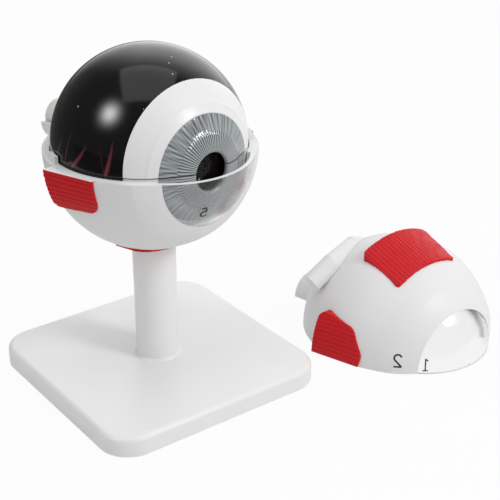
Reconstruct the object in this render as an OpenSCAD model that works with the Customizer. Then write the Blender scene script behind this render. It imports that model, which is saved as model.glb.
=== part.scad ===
// Anatomical model of the human eye, about three times life size, taken apart for study.
// The globe stands on a post and a square base. Its upper outer shell is lifted off and
// lies rim down on the table beside the base. The eye looks towards -Y, and the origin
// is the centre of the base's underside. All sizes are in millimetres.

/* [Base] */
// Width of the square base
base_w = 90; // [80:1:110]
// Thickness of the base
base_t = 7.5; // [6.5:0.5:12]
// Radius of the base's corners, seen from above
base_corner_r = 12; // [8:1:16]
// Rounding of the base's top edge
base_edge_r = 2; // [0.5:0.5:3]
// Thickness of the base's side walls
base_wall = 2.5; // [2:0.5:4]
// Thickness of the base's top skin
base_skin = 2.5; // [1.5:0.5:3]
// Thickness of the ribs under the base
base_rib = 1.8; // [1.2:0.2:3]

/* [Post] */
// Radius of the post
post_r = 8; // [6.5:0.5:10]
// Height of the raised foot ring round the post
foot_h = 1; // [0.5:0.5:3]
// Width of the raised foot ring round the post
foot_w = 0.8; // [0.4:0.2:2]
// Radius of the spigot that plugs into the base
spigot_r = 5; // [3.5:0.5:6]
// Length of the spigot that plugs into the base
spigot_h = 3; // [2:0.5:3.5]

/* [Globe] */
// Height of the globe's centre above the table
globe_z = 92; // [75:1:120]
// Outer radius of the white shell
globe_r = 37.5; // [34:0.5:42]
// Wall of the white shell
shell_wall = 2.6; // [2:0.1:3.5]
// Turn of the globe on its post
globe_turn = 5; // [-15:1:15]
// Width of a locating lug, as an angle round the rim
lug_angle = 9; // [6:1:14]
// Place of the locating lugs, as an angle from the front
lug_place = 103; // [98:1:125]
// Height of a locating lug above the rim
lug_h = 2.6; // [1.5:0.1:4]
// Thickness of a locating lug
lug_t = 1.3; // [0.8:0.1:1.6]

/* [Cornea] */
// Radius of the round opening that the cornea fills
limbus_r = 20.1; // [19.6:0.1:21.5]
// Outer radius of curvature of the cornea
cornea_r = 28.2; // [25:0.1:34]
// Wall of the clear cornea
cornea_wall = 1.5; // [1:0.1:2]
// Height of the collar that the white shell forms round the cornea
collar_h = 0.8; // [0.3:0.1:1.2]
// Angle from the eye's axis to the outer edge of the collar
collar_angle = 58; // [52:1:62]

/* [Inner ball] */
// Wall of the black choroid coat
choroid_wall = 1.8; // [1.2:0.1:2.5]
// Wall of the retina lining
retina_wall = 1; // [0.6:0.1:1.4]
// Wall of the white front band
band_wall = 2.3; // [1.6:0.1:3]
// Angle from the eye's axis to the edge of the white front band
band_angle = 52; // [46:1:56]
// How far the inner ball stands above the white shell's rim
ball_rise = 0.5; // [0.2:0.1:1.2]
// Seam between the two halves of the inner ball
split_gap = 0.3; // [0.2:0.1:0.8]

/* [Iris and lens] */
// Outer radius of the iris
iris_r = 18.7; // [17:0.1:19]
// Radius of the pupil
pupil_r = 6.6; // [4:0.1:8]
// Radius of curvature of the domed iris
iris_curve_r = 37; // [35:1:60]
// Thickness of the iris
iris_t = 1; // [0.8:0.1:1.2]
// Angle by which the iris looks down, against the globe's rim
iris_dip = 2; // [0:0.5:2.5]
// Radius of the lens
lens_r = 13.5; // [11:0.1:13.8]
// Radius of curvature of the lens's front
lens_front_r = 30; // [24:1:40]
// Radius of curvature of the lens's back
lens_back_r = 18; // [17:0.5:22]
// Thickness of the lens at its edge
lens_edge = 1.2; // [0.8:0.1:1.6]
// Depth of the hollow in the vitreous body that holds the lens's back
fossa_d = 4; // [3:0.1:4.5]
// Number of folds round the whole ciliary body
ciliary_folds = 48; // [24:2:60]
// Depth of the folds of the ciliary body
fold_d = 2.2; // [1:0.1:3]

/* [Optic nerve] */
// Radius of the optic nerve
nerve_r = 6.1; // [5:0.1:7]
// Length of the nerve, from the globe's centre to its end
nerve_end = 45.7; // [43:0.1:52]
// Angle between the nerve and the eye's axis
nerve_angle = 11; // [0:1:18]
// Wall of the nerve's outer sheath
sheath_wall = 1.5; // [1.2:0.1:2.5]

/* [Muscles] */
// Height of a muscle pad above the white shell, where it is thinnest
pad_t = 0.6; // [0.5:0.1:1.5]
// Angle between the eye's axis and a muscle, which leaves the globe straight backwards
pad_tilt = 17; // [10:0.5:20]
// Half width of the superior rectus pad
superior_w = 17.2; // [12:0.1:18]
// Front edge of the superior rectus pad, ahead of the globe's centre
superior_front = 17; // [12:0.5:18]
// Back edge of the superior rectus pad, behind the globe's centre
superior_back = 3.2; // [1:0.1:6]
// How much narrower the superior rectus pad is in front, on the temple side
superior_taper = 2.6; // [0:0.2:4]
// Half width of the inferior rectus pad
inferior_w = 16.5; // [14:0.1:20]
// Front edge of the inferior rectus pad, ahead of the globe's centre
inferior_front = 11; // [10.5:0.5:16]
// Back edge of the inferior rectus pad, behind the globe's centre
inferior_back = 1.5; // [1:0.1:6]
// Angle between the eye's axis and the inferior rectus pad
inferior_tilt = 9.5; // [6:0.5:17]
// Front edge of the side pads, ahead of the globe's centre
side_front = 15; // [12:0.5:17]
// Back edge of the side pads, behind the globe's centre
side_back = 4.8; // [2:0.1:8]
// Height of the side pads above the rim
side_up = 17.7; // [14:0.1:19]
// Depth of the side pads below the rim
side_down = 14.1; // [12:0.1:17]
// Spacing of the fibre ribs on the muscles
rib_pitch = 1.7; // [1.4:0.1:2.5]
// Depth of the grooves between the fibre ribs
rib_d = 0.35; // [0.2:0.05:0.45]
// Radius of the oblique muscles
oblique_r = 4; // [3:0.1:4.3]

/* [Lifted shell] */
// Place of the lifted shell's centre across the table
shell_x = 95.5; // [90:0.5:110]
// Place of the lifted shell's centre towards the front
shell_y = -30; // [-60:1:40]
// Turn of the lifted shell on the table
shell_turn = 1.5; // [-15:0.5:15]

/* [Hidden] */
$fn = 96;
big = 4 * globe_r;
// Slide and glue clearances
fit = 0.05;
ball_clear = 0.3;
soft_clear = 0.35;
// How far a cut runs past the face that it opens
over = 1;

// Spheres of the nested coats
shell_in_r = globe_r - shell_wall;
choroid_r = shell_in_r - ball_clear;
choroid_in_r = choroid_r - choroid_wall;
retina_r = choroid_in_r - fit;
retina_in_r = retina_r - retina_wall;
vitreous_r = retina_in_r - soft_clear;
band_in_r = choroid_r - band_wall;

// Distances along the eye's axis, ahead of the globe's centre
collar_r = globe_r + collar_h;
// The collar falls to the globe on a ball that is set ahead of the globe's centre
collar_ahead = 4.5;
collar_back_r = sqrt(pow(collar_ahead, 2) + pow(globe_r, 2)
    - 2 * collar_ahead * globe_r * cos(collar_angle));
limbus_f = sqrt(pow(collar_r, 2) - pow(limbus_r, 2));
cornea_f = limbus_f - sqrt(pow(cornea_r, 2) - pow(limbus_r, 2));
band_f = choroid_r * cos(band_angle);
iris_edge_f = sqrt(pow(choroid_r, 2) - pow(iris_r, 2));
iris_f = iris_edge_f - sqrt(pow(iris_curve_r, 2) - pow(iris_r, 2));
iris_back_f = iris_f + iris_curve_r - iris_t;
lens_iris_gap = 3;
lens_front_f = iris_back_f - lens_iris_gap;
front_cap = lens_front_r - sqrt(pow(lens_front_r, 2) - pow(lens_r, 2));
back_cap = lens_back_r - sqrt(pow(lens_back_r, 2) - pow(lens_r, 2));
lens_back_f = lens_front_f - front_cap - lens_edge - back_cap;
vitreous_f = lens_back_f + fossa_d;

// Ciliary body
ciliary_gap = 2 * ball_clear + limbus_r * sin(iris_dip);
ciliary_in_r = lens_r + 2 * ball_clear + iris_edge_f * sin(iris_dip);
ciliary_back_f = vitreous_f + ciliary_gap;
ciliary_front_f = iris_edge_f - iris_t;
ciliary_bevel = 1.5;
fold_w = 0.9;

// Locating lugs
lug_in_r = shell_in_r + 2 * fit;
lug_play = 1.8;

// Optic nerve sheath
sheath_in_r = nerve_r + ball_clear + 2 * fit;
sheath_r = sheath_in_r + sheath_wall;
sheath_end = nerve_end + ball_clear;

// Muscle pads
pad_r = globe_r + pad_t;
pad_reach = 40;
pad_round = 2.5;
pad_wide_round = 5;
pad_corner = 1.5;
side_drop = 3.2;
side_cut = 4.4;
side_swell = 1;
side_swell_z = 5;
groove_w = 0.5;
seat_r = globe_r + fit;

// Oblique muscles: the path of each on a shell of unit radius, from its free end to where
// it sinks into the shell
oblique_path = [[-0.86, 0.42, 0.61], [-0.6, 0.4, 0.77], [-0.19, 0.51, 0.81], [0, 0.42, 0.78]];

// Screw that holds the globe on the post
screw_r = 1.75;
screw_head_r = 3.9;
screw_head_h = 1.9;
screw_in_post = 20;
screw_sink = 0.1;
screw_top = shell_in_r + screw_sink;
screw_hole_r = screw_r + 0.2;

base_inset = base_w / 2 - base_corner_r;
spigot_clear = 2 * fit;

// ---------- outlines ----------

function unit(v) = v / norm(v);

// Points of the arc of radius r that rounds corner b between a and c
function corner_arc(a, b, c, r, steps) =
    let (u = unit(a - b), w = unit(c - b), half = acos(u * w) / 2)
    let (centre = b + unit(u + w) * r / sin(half))
    let (s = b + u * r / tan(half) - centre, e = b + w * r / tan(half) - centre)
    let (a0 = atan2(s[1], s[0]))
    let (turn = (atan2(e[1], e[0]) - a0 + 540) % 360 - 180)
    r == 0 ? [b] : [for (i = [0:steps])
        centre + r * [cos(a0 + turn * i / steps), sin(a0 + turn * i / steps)]];

// Closed outline through corners [x, y, rounding]
function rounded_outline(p, steps = 6) =
    [for (i = [0:len(p) - 1])
        let (a = p[(i + len(p) - 1) % len(p)], b = p[i], c = p[(i + 1) % len(p)])
        each corner_arc([a[0], a[1]], [b[0], b[1]], [c[0], c[1]], b[2], steps)];

function square_corners(half, r) =
    [[half, half, r], [-half, half, r], [-half, -half, r], [half, -half, r]];

// Turn that moves a point by d round a circle of radius r
function turn_by(d, r) = d / r * 180 / PI;

// Sector of a ribbed circle, its middle upwards: V grooves at every rib_pitch round it
function ribbed_sector(r, half) =
    let (count = floor(half / turn_by(rib_pitch, r)))
    concat([[0, 0]], [for (k = [-count:count], j = [-1:1])
        let (a = turn_by(k * rib_pitch + j * groove_w / 2, r))
        (j == 0 ? r - rib_d : r) * [sin(a), cos(a)]]);

// Half outline of a round-bottomed well: a ball of radius r swept upwards
function fossa_profile(r) =
    concat([for (a = [-90:5:0]) r * [cos(a), sin(a)]], [[r, big], [0, big]]);

// ---------- frames and cuts ----------

// Frame of the outer shell on its post
module on_post() {
    translate([0, 0, globe_z]) rotate([0, 0, globe_turn]) children();
}

// Frame of the inner ball's lower half
module in_bowl() {
    on_post() translate([0, 0, ball_rise]) children();
}

// Frame of the inner ball's upper half
module in_dome() {
    in_bowl() translate([0, 0, split_gap]) children();
}

// Frame of the lifted shell, rim down on the table
module on_table() {
    translate([shell_x, shell_y, 0]) rotate([0, 0, shell_turn]) children();
}

module lower_half() {
    intersection() {
        children();
        translate([-big / 2, -big / 2, -big]) cube(big);
    }
}

module upper_half() {
    intersection() {
        children();
        translate([-big / 2, -big / 2, 0]) cube(big);
    }
}

// Turns the Z axis forward along the eye's axis
module forward() {
    rotate([90, 0, 0]) children();
}

// Dips what faces ahead by the angle at which the iris looks down
module dipped() {
    rotate([iris_dip, 0, 0]) children();
}

// Turns the Z axis back along the optic nerve
module along_nerve() {
    rotate([0, 0, nerve_angle]) rotate([-90, 0, 0]) children();
}

// Everything more than f ahead of the globe's centre
module ahead_of(f) {
    translate([-big / 2, -f - big, -big / 2]) cube(big);
}

// ---------- base and post ----------

module base_edge() {
    polygon(concat([[0, 0]], rounded_outline([
        [base_corner_r, 0, 0], [base_corner_r, base_t, base_edge_r], [0, base_t, 0]])));
}

module base_blank() {
    for (q = [0:3]) rotate([0, 0, 90 * q]) {
        translate([base_inset, base_inset, 0]) rotate_extrude(angle = 90) base_edge();
        translate([base_inset, base_inset, 0]) rotate([90, 0, 0])
            linear_extrude(2 * base_inset) base_edge();
    }
    translate([-base_inset, -base_inset, 0])
        cube([2 * base_inset, 2 * base_inset, base_t]);
}

// Pockets between the ribs under the base, with the middle one left solid for the post
module base_pockets() {
    cells = 5;
    inner = base_w - 2 * base_wall;
    pitch = (inner + base_rib) / cells;
    pocket = pitch - base_rib;
    intersection() {
        for (i = [0:cells - 1], j = [0:cells - 1])
            if (i != 2 || j != 2)
                translate([i * pitch - inner / 2, j * pitch - inner / 2, -over])
                    cube([pocket, pocket, over + base_t - base_skin]);
        translate([0, 0, -2 * over]) linear_extrude(base_t + 2 * over)
            polygon(rounded_outline(square_corners(inner / 2, base_corner_r - base_wall)));
    }
}

module base_plate() {
    color("whitesmoke") difference() {
        base_blank();
        base_pockets();
        translate([0, 0, base_t - spigot_h - spigot_clear])
            cylinder(r = spigot_r + fit, h = base_t);
    }
}

module post() {
    color("white") difference() {
        union() {
            translate([0, 0, base_t]) cylinder(r = post_r, h = globe_z - base_t - globe_r / 2);
            translate([0, 0, base_t]) cylinder(r1 = post_r + foot_w, r2 = post_r, h = foot_h);
            translate([0, 0, base_t - spigot_h]) cylinder(r = spigot_r, h = spigot_h + over);
        }
        translate([0, 0, globe_z]) sphere(r = seat_r);
        translate([0, 0, globe_z - globe_r - screw_in_post - over])
            cylinder(r = screw_r + fit, h = globe_r);
    }
}

// Countersunk screw from inside the globe down into the post
module globe_screw() {
    color("silver") union() {
        translate([0, 0, globe_z - screw_top - screw_head_h])
            cylinder(r1 = screw_r, r2 = screw_head_r, h = screw_head_h);
        translate([0, 0, globe_z - globe_r - screw_in_post])
            cylinder(r = screw_r, h = screw_in_post + shell_wall - screw_sink - screw_head_h);
    }
}

// ---------- outer shell ----------

module sclera_form() {
    difference() {
        union() {
            sphere(r = globe_r);
            intersection() {
                sphere(r = collar_r);
                forward() translate([0, 0, collar_ahead]) sphere(r = collar_back_r);
            }
            along_nerve() cylinder(r = sheath_r, h = sheath_end);
        }
        sphere(r = shell_in_r);
        along_nerve() cylinder(r = sheath_in_r, h = big);
        forward() translate([0, 0, globe_r / 2]) cylinder(r = limbus_r, h = big);
    }
}

// Blocks standing on the rim at both sides of the back, from radius r0 to r1
module rim_blocks(r0, r1, angle, h) {
    for (side = [-1, 1])
        rotate([0, 0, side * lug_place - 90 - angle / 2])
            rotate_extrude(angle = angle)
                translate([r0, -over]) square([r1 - r0, over + h]);
}

// Lugs on the lower rim, inside the upper shell's wall
module rim_lugs() {
    rim_blocks(lug_in_r, lug_in_r + lug_t, lug_angle, lug_h);
}

// Notches in the upper rim that the lugs go into
module rim_notches() {
    rim_blocks(shell_in_r - over, lug_in_r + lug_t + ball_clear, lug_angle + lug_play,
        lug_h + ball_clear);
}

module sclera_lower() {
    color("white") on_post() union() {
        difference() {
            lower_half() sclera_form();
            translate([0, 0, -globe_r - over]) cylinder(r = screw_hole_r, h = globe_r);
            translate([0, 0, -screw_top - screw_head_h])
                cylinder(r1 = screw_hole_r, r2 = screw_head_r + fit, h = screw_head_h);
            translate([0, 0, -screw_top]) cylinder(r = screw_head_r + fit, h = 2 * over);
        }
        rim_lugs();
    }
}

module sclera_upper() {
    color("white") on_table() difference() {
        upper_half() sclera_form();
        rim_notches();
    }
}

module cornea_form() {
    difference() {
        intersection() {
            forward() translate([0, 0, cornea_f]) sphere(r = cornea_r);
            forward() translate([0, 0, globe_r / 2]) cylinder(r = limbus_r - fit, h = big);
        }
        forward() translate([0, 0, cornea_f]) sphere(r = cornea_r - cornea_wall);
    }
}

module cornea_lower() {
    color("lightcyan", 0.4) on_post() lower_half() cornea_form();
}

module cornea_upper() {
    color("lightcyan", 0.4) on_table() upper_half() cornea_form();
}

// ---------- muscles ----------

// Ball that the muscles are seated on; they are thin, so its mesh is fine
module seat() {
    sphere(r = seat_r, $fn = 240);
}

// Ribbed bar on top of the globe, its fibres straight and rising towards the back
module muscle_bar(tilt) {
    rotate([tilt, 0, 0]) rotate([90, 0, 0])
        linear_extrude(big, center = true) polygon(ribbed_sector(pad_r, pad_reach));
}

// Muscle on one side of the globe; side is -1 for the nasal side and 1 for the temple
module side_muscle(side) {
    difference() {
        intersection() {
            rotate([0, side * 90, 0]) muscle_bar(pad_tilt);
            rotate([90, 0, 90]) translate([0, 0, side > 0 ? 0 : -big])
                linear_extrude(big) polygon(rounded_outline([
                    [-side_front, side_swell - side_down, pad_wide_round],
                    [side_back - side_swell, -side_down, pad_round],
                    [side_back, 0, 0],
                    [side_back, side_up, pad_round],
                    [side_cut - side_front, side_up - side_drop, pad_wide_round],
                    [-side_front - side_swell, side_swell_z, pad_wide_round],
                    [-side_front, 0, 0]]));
        }
        seat();
    }
}

// Muscle over the top of the globe, between its front and back edges
module top_muscle(half, front, back, tilt, taper) {
    difference() {
        intersection() {
            muscle_bar(tilt);
            linear_extrude(big) polygon(rounded_outline([
                [-half, -front, pad_corner], [half - taper, taper / 3 - front, pad_corner],
                [half, back, pad_corner], [-half, back, pad_corner]]));
        }
        seat();
    }
}

module medial_rectus_lower() {
    color("crimson") on_post() lower_half() side_muscle(-1);
}

module lateral_rectus_lower() {
    color("crimson") on_post() lower_half() side_muscle(1);
}

// The pad under the globe goes round the post
module inferior_rectus() {
    color("crimson") on_post() difference() {
        mirror([0, 0, 1])
            top_muscle(inferior_w, inferior_front, inferior_back, inferior_tilt, 0);
        translate([0, 0, -big]) cylinder(r = post_r + 1, h = big);
    }
}

module medial_rectus_upper() {
    color("crimson") on_table() upper_half() side_muscle(-1);
}

module lateral_rectus_upper() {
    color("crimson") on_table() upper_half() side_muscle(1);
}

module superior_rectus() {
    color("crimson") on_table()
        top_muscle(superior_w, superior_front, superior_back, pad_tilt, superior_taper);
}

// Round bar from point a to point b
module bar(a, b, r) {
    run = b - a;
    translate(a) rotate([0, 0, atan2(run[1], run[0])])
        rotate([0, acos(run[2] / norm(run)), 0]) cylinder(r = r, h = norm(run));
}

// Round tendon from its free flat end to where it sinks into the shell
module oblique() {
    p = oblique_path * globe_r;
    difference() {
        union() {
            for (i = [1:len(p) - 1]) bar(p[i - 1], p[i], oblique_r);
            for (i = [1:len(p) - 2]) translate(p[i]) sphere(r = oblique_r + fit);
        }
        seat();
    }
}

module superior_oblique() {
    color("white") on_table() oblique();
}

module inferior_oblique() {
    color("white") on_post() rotate([0, 180, 0]) oblique();
}

// ---------- inner ball ----------

module choroid_form() {
    difference() {
        sphere(r = choroid_r);
        sphere(r = choroid_in_r);
        ahead_of(band_f);
    }
}

module retina_form() {
    difference() {
        sphere(r = retina_r);
        sphere(r = retina_in_r);
        ahead_of(band_f - fit);
    }
}

module band_form() {
    difference() {
        intersection() {
            sphere(r = choroid_r);
            ahead_of(band_f);
        }
        sphere(r = band_in_r);
        dipped() forward() cylinder(r = iris_r, h = big);
    }
}

// Domed iris round the pupil
module iris_form() {
    dipped() difference() {
        intersection() {
            forward() translate([0, 0, iris_f]) sphere(r = iris_curve_r);
            forward() translate([0, 0, globe_r / 2]) cylinder(r = iris_r - fit, h = big);
        }
        forward() translate([0, 0, iris_f]) sphere(r = iris_curve_r - iris_t);
        forward() cylinder(r = pupil_r, h = big);
    }
}

// Ring of radial folds that would hold the lens
module ciliary_form() {
    $fn = 240;
    difference() {
        intersection() {
            dipped() forward() rotate_extrude() polygon([
                [ciliary_in_r, ciliary_back_f],
                [ciliary_in_r, ciliary_front_f - ciliary_bevel],
                [ciliary_in_r + ciliary_bevel, ciliary_front_f],
                [choroid_r, ciliary_front_f],
                [choroid_r, ciliary_back_f]]);
            sphere(r = band_in_r - fit);
        }
        dipped() forward() for (i = [0:ciliary_folds - 1])
            rotate([0, 0, (i + 0.5) * 360 / ciliary_folds])
                translate([ciliary_in_r - over, -fold_w / 2, 0])
                    cube([fold_d + over, fold_w, big]);
    }
}

module nerve_form() {
    difference() {
        along_nerve() cylinder(r = nerve_r, h = nerve_end);
        sphere(r = choroid_r + fit);
    }
}

module choroid_lower() {
    color("#1a1718") in_bowl() lower_half() choroid_form();
}

module retina_lower() {
    color("orangered") in_bowl() lower_half() retina_form();
}

module front_band_lower() {
    color("white") in_bowl() lower_half() band_form();
}

module iris_lower() {
    color("lightslategray") in_bowl() lower_half() iris_form();
}

module ciliary_body_lower() {
    color("saddlebrown") in_bowl() lower_half() ciliary_form();
}

module optic_nerve_lower() {
    color("ivory") in_bowl() lower_half() nerve_form();
}

module choroid_upper() {
    color("#1a1718") in_dome() upper_half() choroid_form();
}

module retina_upper() {
    color("orangered") in_dome() upper_half() retina_form();
}

module front_band_upper() {
    color("white") in_dome() upper_half() band_form();
}

module iris_upper() {
    color("lightslategray") in_dome() upper_half() iris_form();
}

module ciliary_body_upper() {
    color("saddlebrown") in_dome() upper_half() ciliary_form();
}

module optic_nerve_upper() {
    color("ivory") in_dome() upper_half() nerve_form();
}

// Clear body that fills the globe, with a hollow open upwards for the lens
module vitreous_body() {
    color("azure", 0.4) in_bowl() difference() {
        forward() sphere(r = vitreous_r);
        ahead_of(vitreous_f);
        translate([0, -lens_back_f - lens_back_r, 0])
            rotate_extrude() polygon(fossa_profile(lens_back_r + ball_clear));
    }
}

module lens() {
    color("lightyellow", 0.5) in_bowl() forward() intersection() {
        translate([0, 0, lens_front_f - lens_front_r]) sphere(r = lens_front_r);
        translate([0, 0, lens_back_f + lens_back_r]) sphere(r = lens_back_r);
        cylinder(r = lens_r, h = big);
    }
}

base_plate();
post();
globe_screw();
sclera_lower();
cornea_lower();
medial_rectus_lower();
lateral_rectus_lower();
inferior_rectus();
inferior_oblique();
choroid_lower();
retina_lower();
front_band_lower();
iris_lower();
ciliary_body_lower();
optic_nerve_lower();
vitreous_body();
lens();
choroid_upper();
retina_upper();
front_band_upper();
iris_upper();
ciliary_body_upper();
optic_nerve_upper();
sclera_upper();
cornea_upper();
medial_rectus_upper();
lateral_rectus_upper();
superior_rectus();
superior_oblique();
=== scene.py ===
"""Finishes, fine surfaces, painted marks and stage for the take-apart eye anatomy model."""

import math
import random

import bmesh
import bpy
import numpy as np
from mathutils import Matrix, Vector
from mathutils.bvhtree import BVHTree


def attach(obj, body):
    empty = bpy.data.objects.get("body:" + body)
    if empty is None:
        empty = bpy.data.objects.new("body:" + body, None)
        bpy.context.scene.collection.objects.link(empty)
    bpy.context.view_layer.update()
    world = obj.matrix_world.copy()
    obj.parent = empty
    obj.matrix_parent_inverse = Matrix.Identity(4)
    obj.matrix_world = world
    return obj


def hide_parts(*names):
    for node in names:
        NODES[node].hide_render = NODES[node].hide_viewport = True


bl_info = {
    "name": "Eye Anatomy Model",
    "version": (1, 0, 0),
    "blender": (4, 5, 0),
    "location": "3D View > Sidebar > Eye Model",
    "description": "Dresses the packed eye model with its finishes, painted marks and stage",
    "category": "Object",
}

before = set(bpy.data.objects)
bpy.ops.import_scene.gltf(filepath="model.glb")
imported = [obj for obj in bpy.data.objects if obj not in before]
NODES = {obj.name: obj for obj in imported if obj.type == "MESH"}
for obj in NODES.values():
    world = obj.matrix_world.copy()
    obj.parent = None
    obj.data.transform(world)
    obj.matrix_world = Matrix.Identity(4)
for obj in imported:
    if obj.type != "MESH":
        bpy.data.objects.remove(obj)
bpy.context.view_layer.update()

MM = 0.001
UPPER = 1
LOWER = -1


# ---------- sizes and colours that a user would change ----------


def length(name, description, millimetres):
    """A length, given in millimetres."""
    return bpy.props.FloatProperty(
        name=name, description=description, default=millimetres * MM, unit="LENGTH", precision=5
    )


def angle(name, description, degrees):
    """An angle, given in degrees."""
    return bpy.props.FloatProperty(
        name=name, description=description, default=math.radians(degrees), subtype="ANGLE"
    )


def share(name, description, value):
    """A share, from 0 to 1."""
    return bpy.props.FloatProperty(
        name=name, description=description, default=value, min=0.0, max=1.0, subtype="FACTOR"
    )


def power(name, description, watts):
    """A lamp's power, in watts."""
    return bpy.props.FloatProperty(
        name=name, description=description, default=watts, min=0.0, unit="POWER"
    )


def colour(name, description, rgb):
    """A colour."""
    return bpy.props.FloatVectorProperty(
        name=name, description=description, default=rgb, size=3, min=0.0, max=1.0, subtype="COLOR"
    )


class EyeSizes(bpy.types.PropertyGroup):
    """Sizes of the coats and of their painted and moulded detail"""

    globe_height: length("Globe height", "Height of the globe's centre", 92)
    globe_turn: angle("Globe turn", "Turn of the globe on its post", 5)
    globe_radius: length("Globe radius", "Outer radius of the white shell", 37.5)
    ball_rise: length("Ball rise", "How far the inner ball stands above the white shell's rim", 0.5)
    split_gap: length("Split gap", "Seam between the two halves of the inner ball", 0.3)
    coat_radius: length("Coat radius", "Outer radius of the black coat", 34.6)
    coat_wall: length("Coat wall", "Wall of the black coat", 1.8)
    band_wall: length("Band wall", "Wall of the white front band", 2.3)
    band_angle: angle("Band angle", "Angle from the eye's axis to the band's edge", 52)
    band_ring: share("Band ring", "Place of the band's raised ring, from inner rim to edge", 0.3)
    band_ring_height: length("Ring height", "Height of the band's raised ring", 0.16)
    band_ring_width: share("Ring width", "Half width of the ring, against the band's width", 0.07)
    band_rim_round: length("Band rim", "Rounding of the band's inner rim", 0.4)
    iris_radius: length("Iris radius", "Outer radius of the iris", 18.65)
    pupil_radius: length("Pupil radius", "Radius of the pupil", 6.6)
    iris_curve: length("Iris curve", "Radius of curvature of the domed iris", 37)
    iris_thickness: length("Iris thickness", "Thickness of the iris", 1)
    fit: length("Fit", "Gap between parts that are glued or pressed together", 0.05)
    iris_dip: angle("Iris dip", "Angle by which the iris looks down, against the globe's rim", 2)
    seam_play: length("Seam play", "How far iris and band stop short of the rim plane", 0.1)
    pleat_count: bpy.props.IntProperty(
        name="Pleats",
        description="Radial pleats round the whole iris",
        default=90,
        min=24,
        subtype="UNSIGNED",
    )
    pleat_depth: length("Pleat depth", "Depth of the iris's pleats", 0.1)
    collar_share: share("Collar", "Place of the iris's shoulder, from pupil to edge", 0.56)
    collar_height: length("Collar height", "Height of the iris's inner zone above the outer", 0.6)
    rib_pitch: length("Rib pitch", "Spacing of the fibre ribs on the muscles", 1.7)
    muscle_radius: length("Muscle radius", "Radius of the ribbed muscles about their axis", 38.1)
    muscle_tilt: angle("Muscle tilt", "Rise of the muscles towards the back", 17)
    lower_muscle_tilt: angle("Lower muscle tilt", "Rise of the muscle under the globe", 9.5)
    muscle_round: length("Muscle rounding", "Size of the mesh that rounds the muscles' edges", 0.2)
    lifted_x: length("Lifted shell x", "Place of the lifted shell's centre across the table", 95.5)
    lifted_y: length("Lifted shell y", "Place of the lifted shell's centre towards the front", -30)
    lifted_turn: angle("Lifted shell turn", "Turn of the lifted shell on the table", 1.5)
    cornea_radius: length("Cornea radius", "Outer radius of curvature of the cornea", 28.2)
    cornea_wall: length("Cornea wall", "Wall of the cornea", 1.5)
    cornea_ahead: length("Cornea ahead", "How far ahead the cornea's centre of curvature is", 12.82)
    limbus_radius: length("Limbus radius", "Radius of the opening that the cornea fills", 20.1)
    ink_width: length("Ink width", "Width of the printed numerals' strokes", 0.7)
    ink_proud: length("Ink proud", "How far a printed numeral stands off its surface", 0.03)


class EyeColours(bpy.types.PropertyGroup):
    """Colours of the finishes"""

    stand_white: colour("Stand white", "Base and post", (0.85, 0.85, 0.85))
    shell_white: colour("Shell white", "Outer shell, sheath and tendons", (0.80, 0.80, 0.80))
    band_white: colour("Band white", "Front band of the inner ball", (0.80, 0.80, 0.80))
    nerve_white: colour("Nerve white", "Optic nerve", (0.78, 0.77, 0.73))
    coat_black: colour("Coat black", "Painted choroid coat", (0.0055, 0.0045, 0.0045))
    vessel_red: colour("Vessel red", "Vessel strokes on the black coat", (0.17, 0.04, 0.05))
    # Grey strokes on the black coat are painted reflection, not vessels
    vessel_grey: colour("Vessel grey", "Faint grey strokes on the black coat", (0.06, 0.055, 0.055))
    muscle_red: colour("Muscle red", "Muscle pads", (0.64, 0.006, 0.012))
    # Darker red in the muscles' grooves: painted shade
    groove_red: colour("Groove red", "Paint pooled between the muscle fibres", (0.38, 0.002, 0.005))
    # Iris light and dark: painted light on the crests of the pleats and painted shade in their
    # grooves
    iris_light: colour("Iris light", "Crests of the iris's pleats", (0.42, 0.452, 0.458))
    iris_dark: colour("Iris dark", "Grooves of the iris's pleats", (0.075, 0.083, 0.086))
    retina_red: colour("Retina red", "Retina lining", (0.42, 0.02, 0.02))
    retina_vessel: colour("Retina vessel", "Vessels of the retina", (0.30, 0.008, 0.012))
    ciliary_brown: colour("Ciliary brown", "Folds of the ciliary body", (0.14, 0.03, 0.02))
    clear: colour("Clear plastic", "Cornea", (0.93, 0.935, 0.935))
    # Grey tint on the clear lens and vitreous body: painted shade that darkens the eye's inside
    # seen through the pupil
    pupil_shade_tint: colour("Smoky plastic", "Lens and vitreous body", (0.42, 0.4, 0.4))
    cut_white: colour("Cut white", "Frosted cut faces of the cornea", (0.84, 0.85, 0.85))
    steel: colour("Steel", "Screw", (0.56, 0.56, 0.58))
    ink: colour("Ink", "Printed numerals", (0.02, 0.02, 0.022))
    dust: colour("Dust", "Specks of dust on the black coat", (0.6, 0.58, 0.56))


class EyeStage(bpy.types.PropertyGroup):
    """Camera and lights"""

    camera_azimuth: angle("Camera azimuth", "Turn of the camera round the model", -36.785)
    camera_elevation: angle("Camera elevation", "Height of the camera as an angle", 26.218)
    camera_distance: length("Camera distance", "Distance from the aim to the camera", 431.16)
    camera_aim: bpy.props.FloatVectorProperty(
        name="Camera aim",
        description="Point that the camera looks at",
        default=(0.02579, -0.02415, 0.05208),
        unit="LENGTH",
    )
    camera_lens: bpy.props.FloatProperty(
        name="Lens",
        description="Focal length on a 36 mm sensor",
        default=85.68,
        min=1.0,
        unit="CAMERA",
    )
    sky: share("Sky", "Light from all round", 0.6)
    front_lamp: power("Front lamp", "Power of the small lamp in front on the right", 4.2)
    side_lamp: power("Side lamp", "Power of the broad lamp on the right", 1.0)
    top_lamp: power("Top lamp", "Power of the square lamp overhead", 2.5)


def sizes():
    return bpy.context.scene.eye_sizes


def colours():
    return bpy.context.scene.eye_colours


def stage_settings():
    return bpy.context.scene.eye_stage


# ---------- frames of the three groups that the coats belong to ----------


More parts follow.
